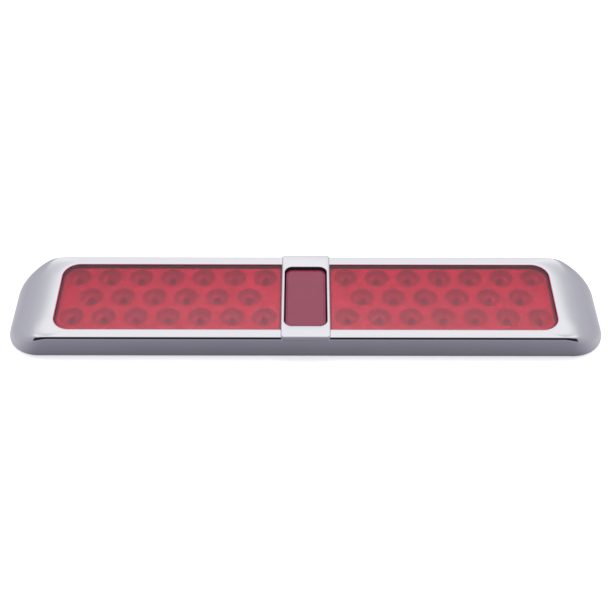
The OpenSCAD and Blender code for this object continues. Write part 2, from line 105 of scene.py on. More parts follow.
# Lenses and lamps
LENS_PLAY, LENS_UNDER, FLANGE_TOP = 0.3, 12.9, 13.8
LAMP_PITCH, LAMP_SHIFT, LAMPS_OUTER = 20.0, 1.5, 7
ROW_STEP = LAMP_PITCH * math.sqrt(3) / 2
PANEL_MID = (SADDLE_X + WIN_X) / 2
CUP_R, CUP_LIP, THROAT_R = 7.8, 0.45, 3.0
CUP_Z, CUP_TOP = 9.1, CUPS_HI[2]
LAMP_HALF, LAMP_BODY, LAMP_DOME = 3.8, 1.9, 2.4

# Back: the plate's two faces and its screw posts, inserts and inlet
FLOOR_Z, PLATE_UNDER = 3.0, GASKET_HI[2]
HEAD_SEAT = 4.4  # top of the screw pads, where the bosses of housing and saddle rest
POST_X, POST_Y, POST_TOP, RIB_TOP = (24, 70, 102, 148), 22.5, 5.4, 4.0
INSERT_R, THREAD_R, BOSS_TOP = 3.5, 2.1, 11.2
INSERT_X = INSERT_END - INSERT_R
INLET_X, INLET_Y = 9.5, 5.5
BLADE_X, TAB_X = 5, 11.4

LAMPS = [
    ((k - (count - 1) / 2) * LAMP_PITCH, row * ROW_STEP + LAMP_SHIFT)
    for row, count in ((-1, LAMPS_OUTER), (0, LAMPS_OUTER - 1), (1, LAMPS_OUTER))
    for k in range(count)
]
BOARD_SCREWS = [
    (sx * 1.5 * LAMP_PITCH, sy * ROW_STEP * 2 / 3 + LAMP_SHIFT)
    for sx in (-1, 1)
    for sy in (-1, 1)
]
PLATE_SCREWS = [(x, s * 29.9) for x in (-130, -48, 48, 130) for s in (-1, 1)] + [
    (sx * (HALF_L - 10.2), sy * 13) for sx in (-1, 1) for sy in (-1, 1)
]
SADDLE_SCREWS = [(0, -18), (0, 18)]


# ---------------------------------------------------------------------- node materials


class Shader:
    """A material with one Principled shader and short calls for the nodes that feed it."""

    def __init__(self, name, color, roughness, **values):
        self.material = bpy.data.materials.new(name)
        self.material.use_nodes = True
        self.tree = self.material.node_tree
        self.bsdf = self.tree.nodes["Principled BSDF"]
        self.bsdf.inputs["Base Color"].default_value = (*color, 1)
        self.bsdf.inputs["Roughness"].default_value = roughness
        for key, value in values.items():
            self.bsdf.inputs[key.replace("_", " ")].default_value = value
        self.place = self.tree.nodes.new("ShaderNodeTexCoord").outputs["Object"]

    def link(self, source, target):
        self.tree.links.new(source, target)

    def scaled(self, scale):
        """Object coordinates stretched by scale along each axis."""
        node = self.tree.nodes.new("ShaderNodeMapping")
        node.inputs["Scale"].default_value = scale
        self.link(self.place, node.inputs["Vector"])
        return node.outputs["Vector"]

    def noise(self, scale, detail, stretch=(1, 1, 1)):
        node = self.tree.nodes.new("ShaderNodeTexNoise")
        node.inputs["Scale"].default_value = scale
        node.inputs["Detail"].default_value = detail
        self.link(self.scaled(stretch), node.inputs["Vector"])
        return node.outputs["Fac"]

    def cells(self, scale):
        node = self.tree.nodes.new("ShaderNodeTexVoronoi")
        node.inputs["Scale"].default_value = scale
        self.link(self.place, node.inputs["Vector"])
        return node.outputs["Distance"]

    def remap(self, value, low, high):
        """Spreads the middle of a pattern's range from low to high."""
        node = self.tree.nodes.new("ShaderNodeMapRange")
        node.inputs["From Min"].default_value = 0.3
        node.inputs["From Max"].default_value = 0.7
        node.inputs["To Min"].default_value = low
        node.inputs["To Max"].default_value = high
        self.link(value, node.inputs["Value"])
        return node.outputs["Result"]

    def add(self, a, b):
        node = self.tree.nodes.new("ShaderNodeMath")
        node.operation = "ADD"
        self.link(a, node.inputs[0])
        self.link(b, node.inputs[1])
        return node.outputs["Value"]

    def blend(self, factor, first, second):
        node = self.tree.nodes.new("ShaderNodeMix")
        node.data_type = "RGBA"
        node.inputs["A"].default_value = (*first, 1)
        node.inputs["B"].default_value = (*second, 1)
        self.link(factor, node.inputs["Factor"])
        return node.outputs["Result"]

    def feed(self, socket, value):
        self.link(value, self.bsdf.inputs[socket])

    def bump(self, height, distance_mm, strength):
        node = self.tree.nodes.new("ShaderNodeBump")
        node.inputs["Strength"].default_value = strength
        node.inputs["Distance"].default_value = distance_mm * MM
        self.link(height, node.inputs["Height"])
        self.link(node.outputs["Normal"], self.bsdf.inputs["Normal"])

    def lets_lamps_through(self, tint):
        """Rays from lamps pass straight through with a tint, so what is behind is lit."""
        nodes = self.tree.nodes
        clear = nodes.new("ShaderNodeBsdfTransparent")
        clear.inputs["Color"].default_value = (*tint, 1)
        mix = nodes.new("ShaderNodeMixShader")
        self.link(nodes.new("ShaderNodeLightPath").outputs["Is Shadow Ray"], mix.inputs[0])
        self.link(self.bsdf.outputs[0], mix.inputs[1])
        self.link(clear.outputs[0], mix.inputs[2])
        self.link(mix.outputs[0], nodes["Material Output"].inputs["Surface"])


def chrome():
    """Bright plating over plastic: a soft waviness, faint polishing lines, thin haze."""
    s = Shader("chrome", (0.80, 0.79, 0.82), 0.12, Metallic=1.0)
    haze = s.noise(28, 4)
    lines = s.noise(900, 2, stretch=(0.03, 1, 1))
    s.feed("Base Color", s.blend(haze, (0.78, 0.77, 0.81), (0.84, 0.83, 0.85)))
    s.feed("Roughness", s.add(s.remap(haze, 0.09, 0.16), s.remap(lines, -0.01, 0.02)))
    s.bump(s.noise(90, 2), 0.02, 0.35)
    return s.material


def lens_red():
    """Red acrylic with a fine diffusing grain, and the slight flow marks of a moulding."""
    s = Shader("lens_red", (0.57, 0.03, 0.13), 0.45, Transmission_Weight=1.0, IOR=1.46)
    s.feed("Roughness", s.remap(s.noise(120, 4), 0.42, 0.50))
    s.bump(s.noise(60, 2, stretch=(1, 0.3, 1)), 0.02, 0.3)
    s.lets_lamps_through((0.8, 0.10, 0.26))
    return s.material


def reflector_red():
    """Dark red acrylic with a fine prism field under a glossy face."""
    s = Shader("reflector_red", (0.20, 0.012, 0.04), 0.16, Coat_Weight=0.6,
               Coat_Roughness=0.04)
    cloud = s.noise(70, 3)
    s.feed("Base Color", s.blend(cloud, (0.17, 0.012, 0.038), (0.22, 0.018, 0.055)))
    s.feed("Roughness", s.remap(cloud, 0.12, 0.22))
    s.bump(s.cells(700), 0.05, 0.12)
    return s.material


def metallised():
    """Vacuum coated plastic: bright, a little rough, patchy in the deep cups."""
    s = Shader("metallised", (0.70, 0.69, 0.68), 0.4, Metallic=0.75)
    patch = s.noise(110, 4)
    s.feed("Base Color", s.blend(patch, (0.62, 0.60, 0.60), (0.76, 0.75, 0.74)))
    s.feed("Roughness", s.remap(patch, 0.34, 0.5))
    s.bump(s.noise(500, 2), 0.02, 0.4)
    return s.material


def lamp_clear():
    """Clear epoxy over a dark lead frame, seen as a glossy grey bead."""
    s = Shader("lamp_clear", (0.04, 0.036, 0.034), 0.1, Coat_Weight=0.6, Coat_Roughness=0.03)
    s.feed("Base Color", s.blend(s.noise(400, 3), (0.02, 0.018, 0.016), (0.06, 0.055, 0.05)))
    return s.material


def textured_plastic(name, color, grain, roughness):
    """Spark-eroded moulded plastic: fine grain and uneven sheen."""
    s = Shader(name, color, roughness)
    cloud = s.noise(35, 4)
    lighter = tuple(min(1, c * 1.5 + 0.006) for c in color)
    s.feed("Base Color", s.blend(cloud, color, lighter))
    s.feed("Roughness", s.remap(cloud, roughness - 0.07, roughness + 0.09))
    s.bump(s.noise(grain, 3), 0.06, 0.5)
    return s.material


def foam():
    """Closed cell foam with small open cells cut through at its skin."""
    s = Shader("foam_black", (0.022, 0.022, 0.023), 0.92)
    cells = s.cells(1100)
    s.feed("Base Color", s.blend(cells, (0.012, 0.012, 0.012), (0.05, 0.05, 0.052)))
    s.bump(cells, 0.18, 0.8)
    return s.material


def rubber():
    s = Shader("seal_rubber", (0.018, 0.018, 0.018), 0.7)
    s.feed("Roughness", s.remap(s.noise(80, 4), 0.6, 0.82))
    s.bump(s.noise(900, 2), 0.03, 0.4)
    return s.material


def plated_metal(name, dark, light, low, high):
    """A plated or machined metal with turning lines and uneven tarnish."""
    s = Shader(name, light, high, Metallic=1.0)
    tarnish = s.noise(300, 5)
    s.feed("Base Color", s.blend(tarnish, dark, light))
    s.feed("Roughness", s.remap(tarnish, low, high))
    s.bump(s.noise(1500, 2, stretch=(1, 1, 0.2)), 0.02, 0.5)
    return s.material


def board_green():
    """Solder mask over copper: darker lanes where the mask lies on bare board."""
    s = Shader("board_green", (0.02, 0.14, 0.05), 0.3, Coat_Weight=0.4)
    lanes = s.tree.nodes.new("ShaderNodeTexBrick")
    lanes.inputs["Scale"].default_value = 60
    lanes.inputs["Color1"].default_value = (0.02, 0.16, 0.06, 1)
    lanes.inputs["Color2"].default_value = (0.025, 0.20, 0.07, 1)
    lanes.inputs["Mortar"].default_value = (0.01, 0.09, 0.035, 1)
    s.link(s.place, lanes.inputs["Vector"])
    s.feed("Base Color", lanes.outputs["Color"])
    s.feed("Roughness", s.remap(s.noise(150, 3), 0.22, 0.4))
    s.bump(lanes.outputs["Fac"], 0.03, 0.4)
    return s.material


def painted_shade_finish():
    """Painted shade: a near-black finish put on narrow gaps and recesses to stand in for the shade
    there.
    """
    s = Shader("painted_shade_recess", (0.012, 0.012, 0.014), 0.55)
    s.feed("Roughness", s.remap(s.noise(200, 3), 0.45, 0.7))
    s.bump(s.noise(800, 2), 0.03, 0.4)
    return s.material


# painted shade: near-black finish that stands in for the shade in the groove and the saddle's
# opening
PAINTED_SHADE = painted_shade_finish()
MATERIALS = {
    "chrome": chrome(),
    "lens_red": lens_red(),
    "reflector_red": reflector_red(),
    "metallised": metallised(),
    "lamp_clear": lamp_clear(),
    "board_green": board_green(),
    "component_dark": textured_plastic("component_dark", (0.02, 0.02, 0.02), 1500, 0.4),
    "wire_cover": textured_plastic("wire_cover", (0.30, 0.012, 0.012), 1200, 0.38),
    "plate_black": textured_plastic("plate_black", (0.016, 0.016, 0.017), 1400, 0.52),
    "seal_rubber": rubber(),
    "foam_black": foam(),
    "screw_steel": plated_metal(
        "screw_steel", (0.38, 0.38, 0.40), (0.66, 0.66, 0.68), 0.22, 0.42),
    "screw_brass": plated_metal(
        "screw_brass", (0.48, 0.36, 0.14), (0.74, 0.60, 0.30), 0.24, 0.42),
    "insert_brass": plated_metal(
        "insert_brass", (0.50, 0.34, 0.13), (0.80, 0.60, 0.30), 0.18, 0.36),
    "terminal_brass": plated_metal(
        "terminal_brass", (0.55, 0.47, 0.33), (0.8, 0.72, 0.55), 0.2, 0.36),
    "inlet_plastic": textured_plastic("inlet_plastic", (0.02, 0.02, 0.022), 1300, 0.42),
}
SLOT_OF = {p["node"]: p["material_slot"] for p in frame["record"]["subparts"]}


# ------------------------------------------------------------------------ mesh helpers


def rounded_rect(a, b, r, arc, side=1):
    """A rounded rectangle by half sizes, with each straight side in `side` pieces."""
    corners = []
    for quarter, (sx, sy) in enumerate(((1, 1), (-1, 1), (-1, -1), (1, -1))):
        angles = [math.pi / 2 * quarter + g for g in quarter_angles(arc)]
        corners.append([
            (sx * (a - r) + r * math.cos(g), sy * (b - r) + r * math.sin(g)) for g in angles
        ])
    out = []
    for corner, following in zip(corners, corners[1:] + corners[:1]):
        out += corner
        p, q = corner[-1], following[0]
        for k in range(1, side):
            out.append((p[0] + (q[0] - p[0]) * k / side, p[1] + (q[1] - p[1]) * k / side))
    return np.array(out)


def d_shape(x0, x1, b, r, arc):
    """A plate from x0 to x1 with square corners at x0 and round ones at x1."""
    points = [(x0, b), (x0, -b)]
    for g in quarter_angles(arc):
        points.append((x1 - r + r * math.sin(g), -(b - r) - r * math.cos(g)))
    for g in quarter_angles(arc):
        points.append((x1 - r + r * math.cos(g), b - r + r * math.sin(g)))
    return np.array(points)


def quarter_angles(arc):
    """Angles of a quarter turn, in equal steps."""
    return [math.pi / 2 * i / arc for i in range(arc + 1)]


def skin(rings, loop=False, caps=True):
    """Vertices and faces of a skin over equal rings of points."""
    m, n = len(rings), len(rings[0])
    verts = [tuple(p) for ring in rings for p in ring]
    faces = []
    for k in range(m if loop else m - 1):
        a, b = k * n, (k + 1) % m * n
        faces += [(a + i, a + (i + 1) % n, b + (i + 1) % n, b + i) for i in range(n)]
    if caps and not loop:
        faces += [tuple(range(n))[::-1], tuple(range((m - 1) * n, m * n))]
    return verts, faces


def join(*parts):
    """Several (vertices, faces) pairs as one."""
    verts, faces = [], []
    for v, f in parts:
        base = len(verts)
        verts += list(v)
        faces += [tuple(i + base for i in face) for face in f]
    return verts, faces


def mirrored(shape):
    """The same shape on the other side of the middle, with its faces turned to match."""
    verts, faces = shape
    return [(-x, y, z) for x, y, z in verts], [f[::-1] for f in faces]


def moved(shape, dx=0.0, dy=0.0, dz=0.0):
    verts, faces = shape
    return [(x + dx, y + dy, z + dz) for x, y, z in verts], faces


def on_side(shape, side):
    """A shape drawn for the right half, mirrored where the left is asked for."""
    return mirrored(shape) if side == "left" else shape


def at_height(outline, z):
    return [(x, y, z) for x, y in outline]


def soft_slab(outline_at, z0, z1, r_low=0.0, r_high=0.0, steps=5):
    """A slab whose outline, given by inset, has rounded lower and upper edges."""
    angles = quarter_angles(steps)
    rings = []
    for g in angles if r_low else angles[-1:]:
        inset, rise = r_low * (1 - math.sin(g)), r_low * (1 - math.cos(g))
        rings.append(at_height(outline_at(inset), z0 + rise))
    for g in angles if r_high else angles[:1]:
        inset, drop = r_high * (1 - math.cos(g)), r_high * (1 - math.sin(g))
        rings.append(at_height(outline_at(inset), z1 - drop))
    return skin(rings)


def prism(outline, z0, z1):
    """A solid with the same outline from z0 up to z1."""
    return skin([at_height(outline, z0), at_height(outline, z1)])


def peg(r, z0, z1, bevel=0.0, n=28):
    """A round solid from z0 up to z1, with a bevel at its top."""
    rim = [(r, z1 - bevel), (r - bevel, z1)] if bevel else [(r, z1)]
    return lathe([(0, z0), (r, z0)] + rim + [(0, z1)], n)


def at_places(shape, places, dx=0.0):
    """Copies of a shape at each place, as one."""
    return join(*(moved(shape, dx + x, y) for x, y in places))


def lathe(profile, n):
    """A solid turned about Z from (radius, height) pairs that start and end on the axis."""
    g = 2 * math.pi * np.arange(n) / n
    rings = [[(r * math.cos(a), r * math.sin(a), z) for a in g] for r, z in profile[1:-1]]
    verts, faces = skin(rings, caps=False)
    low, high = len(verts), len(verts) + 1
    verts += [(0, 0, profile[0][1]), (0, 0, profile[-1][1])]
    top = (len(rings) - 1) * n
    faces += [(low, (i + 1) % n, i) for i in range(n)]
    faces += [(high, top + i, top + (i + 1) % n) for i in range(n)]
    return verts, faces


def raw_object(name, shape):
    verts, faces = shape
    mesh = bpy.data.meshes.new(name)
    mesh.from_pydata([(x * MM, y * MM, z * MM) for x, y, z in verts], [], faces)
    obj = bpy.data.objects.new(name, mesh)
    bpy.context.scene.collection.objects.link(obj)
    bm = bmesh.new()
    bm.from_mesh(mesh)
    bmesh.ops.remove_doubles(bm, verts=bm.verts, dist=1e-7)
    bmesh.ops.recalc_face_normals(bm, faces=bm.faces)
    bm.to_mesh(mesh)
    bm.free()
    return obj


def boolean(obj, other, kind, overlaps=False):
    """Cuts another object out of obj, or adds it, and keeps the result as obj's mesh. The
    parts of one object may overlap each other only where overlaps is set."""
    step = obj.modifiers.new("step", "BOOLEAN")
    step.operation = kind
    step.solver = "EXACT"
    step.use_self = overlaps
    step.object = other
    graph = bpy.context.evaluated_depsgraph_get()
    mesh = bpy.data.meshes.new_from_object(obj.evaluated_get(graph))
    obj.modifiers.clear()
    obj.data = mesh
    bpy.data.objects.remove(other)


def cut(obj, shape):
    boolean(obj, raw_object(obj.name + "_tool", shape), "DIFFERENCE", overlaps=True)


def add(obj, shape):
    boolean(obj, raw_object(obj.name + "_tool", shape), "UNION", overlaps=True)


def shade(obj, sharp_angle):
    """Smooth faces with sharp edges where the surface turns by more than the angle."""
    bm = bmesh.new()
    bm.from_mesh(obj.data)
    for face in bm.faces:
        face.smooth = True
    limit = math.radians(sharp_angle)
    for edge in bm.edges:
        edge.smooth = edge.calc_face_angle(0) < limit
    bm.to_mesh(obj.data)
    bm.free()


def place(obj, node, sharp_angle):
    """Gives a finished piece its material, and puts it in its CAD node's place."""
    slot = SLOT_OF[node]
    obj.data.materials.clear()
    obj.data.materials.append(MATERIALS[slot])
    shade(obj, sharp_angle)
    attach(obj, "root")
    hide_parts(node)


def paint_shade(obj, is_shaded):
    """Paints shade: the faces whose middle, in millimetres, the test picks get the near-black
    finish.
    """
    obj.data.materials.append(PAINTED_SHADE)
    for face in obj.data.polygons:
        if is_shaded(np.array(face.center) / MM):
            face.material_index = 1


def piece(name, shape, node, sharp_angle):
    place(raw_object(name, shape), node, sharp_angle)


# --------------------------------------------------------------------- chrome housing

# Stations along an end's straight, a corner and a long side, as shares of each
ARC_STEPS = 44
END_STEPS = [0, 0.2, 0.4, 0.6, 0.8, 0.93]
SIDE_STEPS = [0.004, 0.008, 0.012, 0.017, 0.022, 0.027, 0.032, 0.037, 0.045, 0.2, 0.4, 0.6, 0.8]


def outline_ring(a, b, r):
    """Stations round the light: from the middle of the +X end, anticlockwise."""
    quarter = [(a, (b - r) * t) for t in END_STEPS]
    for g in quarter_angles(ARC_STEPS):
        quarter.append((a - r + r * math.cos(g), b - r + r * math.sin(g)))
    quarter += [((a - r) * (1 - t), b) for t in SIDE_STEPS]
    half = quarter + [(0, b)] + [(-x, y) for x, y in reversed(quarter)]
    return np.array(half + [(x, -y) for x, y in reversed(half[1:-1])])


def station_values(quarter, middle):
    """Values for a quarter's stations and a long side's middle, mirrored to all stations."""
    half = quarter + [middle] + quarter[::-1]
    return np.array(half + half[1:-1][::-1])


def ease(t):
    return t * t * (3 - 2 * t)


CORNER_RUN = CORNER_R * math.pi / 2


def end_share(run):
    """How much of the domed end's section a station has, by its run past a corner's start."""
    return ease((max(run + BLEND_LEAD, 0) / (CORNER_RUN + BLEND_LEAD)) ** CORNER_BLEND)


END_SHARE = station_values(
    [1.0] * len(END_STEPS)
    + [end_share(CORNER_RUN * (1 - i / ARC_STEPS)) for i in range(ARC_STEPS + 1)]
    + [end_share(-t * (HALF_L - CORNER_R)) for t in SIDE_STEPS],
    0.0,
)

# The groove runs out within the last arc stations before a long side
GROOVE_ARC = 3
GROOVE = station_values(
    [0.0] * (len(END_STEPS) + ARC_STEPS - GROOVE_ARC)
    + [0.7]
    + [1.0] * (len(SIDE_STEPS) + GROOVE_ARC),
    1.0,
)

# The wall's section: places from 0 at the foot to SECTION_END at the window's edge, the
# rise of its plain part, and its width in plan
SECTION_END = 11
WALL_RISE = 14.0
RIM_W = HALF_W - WIN_Y - EDGE_R


def arc_points(k0, k1, centre, radius, start, end, steps):
    """Points of a small round in the wall's section: place, inset, height, groove."""
    out = []
    for i in range(steps + 1):
        t = i / steps
        g = math.radians(start + (end - start) * t)
        inset, z = centre[0] - radius * math.cos(g), centre[1] + radius * math.sin(g)
        out.append((k0 + (k1 - k0) * t, inset, z, 0.0))
    return out


def wall_section():
    """The long wall from the base to the window's rim. Each point holds its place along
    the section, inset from the base outline, height, and share of the groove's depth."""
    foot, lip = (FOOT_R, FOOT_R), (DRAFT + LIP_R, BODY_H - LIP_R)
    points = arc_points(0.0, 0.1, foot, FOOT_R, -70, 0, 4)
    for t in np.linspace(0.08, 1, 14):
        points.append((0.1 + 2.8 * t, 0.75 * DRAFT * t * t, FOOT_R + WALL_RISE * t, 0.0))
    for t in np.linspace(0, 1, 15):
        depth = math.sin(math.pi * t) ** 0.4 if 0 < t < 1 else 0.0
        z = GROOVE_LOW + (GROOVE_HIGH - GROOVE_LOW) * t
        points.append((3 + 3 * t, DRAFT * (0.8 + 0.2 * t), z, depth))
    points += arc_points(6.4, 8.0, lip, LIP_R, 0, 90, 7)
    for t in np.linspace(0.1, 1, 7):
        points.append((8 + 3 * t, lip[0] + (RIM_W - DRAFT - LIP_R) * t, BODY_H, 0.0))
    return points


def dome(angle):
    """Reach and height of the domed end's section, as shares, at an angle above its foot."""
    c, s = max(math.cos(angle), 0.0), max(math.sin(angle), 0.0)
    return c ** (2 / DOME_POWER), s ** (2 / DOME_POWER)


def blended_ring(inner, outer, wall_share, wall_z, dome_share, dome_z):
    """A ring between two outlines: the wall's section on the sides, the dome's at the ends."""
    share = wall_share + (dome_share - wall_share) * END_SHARE
    z = wall_z + (dome_z - wall_z) * END_SHARE
    xy = inner + (outer - inner) * share[:, None]
    return np.column_stack([xy, z])


def housing_rings():
    """The shell's rings: up its outside, over the window's edge, and down its inside."""
    a, b = HALF_L - SKIRT_END, HALF_W - SKIRT_SIDE
    base = outline_ring(HALF_L, HALF_W, CORNER_R)
    rim = outline_ring(WIN_X + EDGE_R, WIN_Y + EDGE_R, WIN_R + EDGE_R)
    skirt = outline_ring(a, b, SKIRT_R)
    mouth = outline_ring(a + SKIRT_BEVEL, b + SKIRT_BEVEL, SKIRT_R + 0.2)
    step = outline_ring(a - STEP_W, b - STEP_W, STEP_R)
    window = outline_ring(WIN_X, WIN_Y, WIN_R)
    rings = []
    for spot, inset, z, groove in wall_section():
        reach, height = dome(math.pi / 2 * spot / SECTION_END)
        wall_share = 1 - (inset + GROOVE * groove * GROOVE_DEPTH) / RIM_W
        rings.append(blended_ring(rim, base, wall_share, z, reach, BODY_H * height))
    for g in quarter_angles(6)[1:]:
        out = EDGE_R * (1 - math.sin(g))
        edge = outline_ring(WIN_X + out, WIN_Y + out, WIN_R + out)
        rings.append(at_height(edge, BODY_H - EDGE_R * (1 - math.cos(g))))
    rings.append(at_height(window, RIM_Z + 0.2))
    rings.append(at_height(window, RIM_Z))
    inner = (
        (76, 0.35, RIM_Z), (62, 0.7, RIM_Z), (48, 0.9, RIM_Z), (36, 1, RIM_Z - 0.4),
        (24, 1, 11), (12, 1, 8), (0, 1, STEP_Z),
    )
    for angle, share, z in inner:
        reach, height = dome(math.radians(angle))
        dome_z = STEP_Z + (RIM_Z - STEP_Z) * height
        rings.append(blended_ring(window, step, share, z, reach, dome_z))
    rings.append(at_height(skirt, STEP_Z))
    rings.append(at_height(skirt, SKIRT_BEVEL))
    rings.append(at_height(mouth, 0))
    return rings


def groove_middles(rings):
    """Middles of the shell's faces that line the groove."""
    section = wall_section()
    deep = (GROOVE + np.roll(GROOVE, -1)) > 0
    middles = []
    for k in range(len(section) - 1):
        if section[k][3] or section[k + 1][3]:
            a, b = np.array(rings[k]), np.array(rings[k + 1])
            middles.append(((a + np.roll(a, -1, 0) + b + np.roll(b, -1, 0)) / 4)[deep])
    return np.vstack(middles)


def housing():
    rings = housing_rings()
    obj = raw_object("housing_shell", skin(rings, loop=True))
    boss = screw_boss(2.6, 8.4)
    add(obj, at_places(boss, PLATE_SCREWS))
    place(obj, "chrome_housing", 38)
    # painted shade: faces lining the groove get the near-black finish in place of the groove's
    # shade
    groove = groove_middles(rings)
    paint_shade(obj, lambda c: c[2] > 10 and np.abs(groove - c).max(axis=1).min() < 0.01)


def screw_boss(r, top):
    """A boss that a screw from behind goes into, bevelled at its open end."""
    seat = HEAD_SEAT
    return lathe([(0, seat), (r - 0.2, seat), (r, seat + 0.2), (r, top), (0, top)], 32)


# ----------------------------------------------------------------------------- saddle


def saddle():
    """Strap over the housing, rounded at its corners and edges, and the tray in the window."""
    a, b, low, top = SADDLE_X, SADDLE_Y, SADDLE_LIP, SADDLE_TOP
    lean = 0.15
    steps = [(0.12, low), (0.0, low + 0.12), (0.02, low + 0.8), (0.07, low + 1.8)]
    steps.append((lean, top - SADDLE_EDGE))
    steps += edge_steps(SADDLE_EDGE, lean, top, 10)
    strap = skin([at_height(rounded_rect(a - i, b - i, SADDLE_R - i, 14, 8), z) for i, z in steps])
    obj = raw_object("saddle_shell", strap)
    hollow = rounded_rect(a + 1, HALF_W - 0.3, 0.1, 2)
    cut(obj, prism(hollow, 0, BODY_H))

    def tray(inset):
        return rounded_rect(a - 0.1 - inset, TRAY_Y - inset, 0.4, 3)

    add(obj, soft_slab(tray, TRAY_Z, BODY_H + 0.2, 0.3))
    add(obj, at_places(screw_boss(3, 10.4), SADDLE_SCREWS))
    steps = [(0.0, FRAME_FLOOR), (0.0, top - FRAME_EDGE)]
    steps += edge_steps(FRAME_EDGE, 0.0, top, 6)
    steps += [(FRAME_EDGE, top + 1)]
    opening = skin([
        at_height(rounded_rect(FRAME_X + i, FRAME_Y + i, FRAME_R + i, 16), z) for i, z in steps
    ])
    cut(obj, moved(opening, 0, FRAME_SHIFT))
    place(obj, "centre_saddle", 34)
    # painted shade: walls and floor of the opening get the near-black finish in place of their
    # shade
    paint_shade(obj, in_opening)


def edge_steps(r, inset, top, steps):
    """Inset and height of the points that round an edge off to a level top."""
    return [
        (inset + r * (1 - math.cos(g)), top - r * (1 - math.sin(g)))
        for g in quarter_angles(steps)[1:]
    ]


def in_opening(middle):
    """Whether a point is on the walls or floor of the saddle's opening."""
    x, y, z = middle
    inside = abs(x) < FRAME_X + 0.1 and abs(y - FRAME_SHIFT) < FRAME_Y + 0.1
    return inside and z < SADDLE_TOP - 0.5


def reflector():
    """A slab with a soft crown, a bevelled edge, and a thin step round its face."""
    a, b = REFLECTOR_HI[0], REFLECTOR_HI[1] - FRAME_SHIFT
    r = FRAME_R - 0.6
    z0, z1 = REFLECTOR_LO[2], REFLECTOR_HI[2]
    border, crown = 1.6, 0.25
    steps = [(0.3, z0), (0.0, z0 + 0.3), (0.0, z1 - 0.95), (0.06, z1 - 0.8)]
    steps += [(0.25, z1 - 0.62), (0.6, z1 - 0.5), (1.0, z1 - 0.45), (1.25, z1 - 0.42)]
    steps += [(1.4, z1 - 0.3), (border, z1 - crown)]
    for t in np.linspace(0.1, 1, 12):
        steps.append((border + (a - 2.2) * t, z1 - crown * (1 - t) ** 2))
    rings = [at_height(rounded_rect(a - i, b - i, max(r - i, 0.5), 12, 12), z) for i, z in steps]
    piece("reflector_face", moved(skin(rings), 0, FRAME_SHIFT), "centre_reflector", 30)


# ------------------------------------------------------------------- lenses and lamps


def lens(side):
    """Face block with a rounded rim, and the flange that is held under the housing."""
    x0 = LENS_LO[0] - 0.2
    x1, y1, r1 = WIN_X - LENS_PLAY, WIN_Y - LENS_PLAY, WIN_R - LENS_PLAY
    web = 1.2

    def face(inset):
        return d_shape(x0 + 0.2 * inset, x1 - inset, y1 - inset, r1 - inset, 18)

    block = soft_slab(face, LENS_UNDER, LENS_HI[2], 0, 0.55, 6)
    obj = raw_object("lens_body_" + side, on_side(block, side))
    outer = d_shape(x0, LENS_HI[0], LENS_HI[1], WIN_R + 2, 18)
    hole = d_shape(x0 - 1, WIN_X - web, WIN_Y - web, WIN_R - web, 18)
    flange = raw_object("flange", on_side(prism(outer, LENS_LO[2], FLANGE_TOP), side))
    cut(flange, on_side(prism(hole, 0, LENS_UNDER), side))
    boolean(obj, flange, "UNION")
    place(obj, "lens_" + side, 30)


def cup_profile():
    """Section of one cup's hollow, from under the plate to above it, with a rounded rim."""
    inner, drop = CUP_R - CUP_LIP, CUP_LIP * 0.6
    depth = CUP_TOP - CUP_Z - drop
    points = [(0, CUP_Z - 1), (THROAT_R, CUP_Z - 1), (THROAT_R, CUP_Z)]
    for t in np.linspace(0.03, 1, 14):
        points.append((THROAT_R + (inner - THROAT_R) * t ** 0.55, CUP_Z + depth * t))
    for g in quarter_angles(5)[1:]:
        r, z = inner + CUP_LIP * (1 - math.cos(g)), CUP_TOP - drop * (1 - math.sin(g))
        points.append((r, z))
    return points + [(CUP_R, CUP_TOP + 1), (0, CUP_TOP + 1)]


def cup_plate(side):
    """Plate with a cup over each lamp and a boss under it for each board screw."""
    x0, x1 = CUPS_LO[0], CUPS_HI[0]
    y1, r1 = CUPS_HI[1], WIN_R - 1.6

    def face(inset):
        return d_shape(x0 + inset, x1 - inset, y1 - inset, r1 - inset, 12)

    plate = soft_slab(face, CUP_Z, CUP_TOP, 0, 0.4, 3)
    obj = raw_object("cup_reflector_" + side, on_side(plate, side))
    r, bottom, top = 2.4, BOARD_TOP, CUP_Z + 0.5
    boss = lathe([(0, bottom), (r - 0.2, bottom), (r, bottom + 0.2), (r, top), (0, top)], 28)
    add(obj, on_side(at_places(boss, BOARD_SCREWS, PANEL_MID), side))
    cup = lathe(cup_profile(), 56)
    cut(obj, on_side(at_places(cup, LAMPS, PANEL_MID), side))
    place(obj, "cup_plate_" + side, 40)


def lamp_shape():
    """Square body with chamfered corners, a stepped collar and a clear dome."""
    chamfer, collar = 0.9, 0.5

    def square(inset):
        h = LAMP_HALF - inset
        k = h - chamfer
        return np.array([(h, -k), (h, k), (k, h), (-k, h), (-h, k), (-h, -k), (-k, -h), (k, -h)])

    r, top = LAMP_DOME, BOARD_TOP + LAMP_BODY
    base = soft_slab(square, BOARD_TOP, top, 0, 0.25, 3)
    profile = [(0, top - 0.3), (r, top - 0.3), (r, top + collar)]
    for g in quarter_angles(9)[1:-1]:
        profile.append((r * math.cos(g), top + collar + r * math.sin(g)))
    profile.append((0, top + collar + r))
    return join(base, lathe(profile, 28))


def lamps(side):
    shape = at_places(lamp_shape(), LAMPS, PANEL_MID)
    piece("lamp_set_" + side, on_side(shape, side), "lamps_" + side, 32)


# -------------------------------------------------------------------------- the back


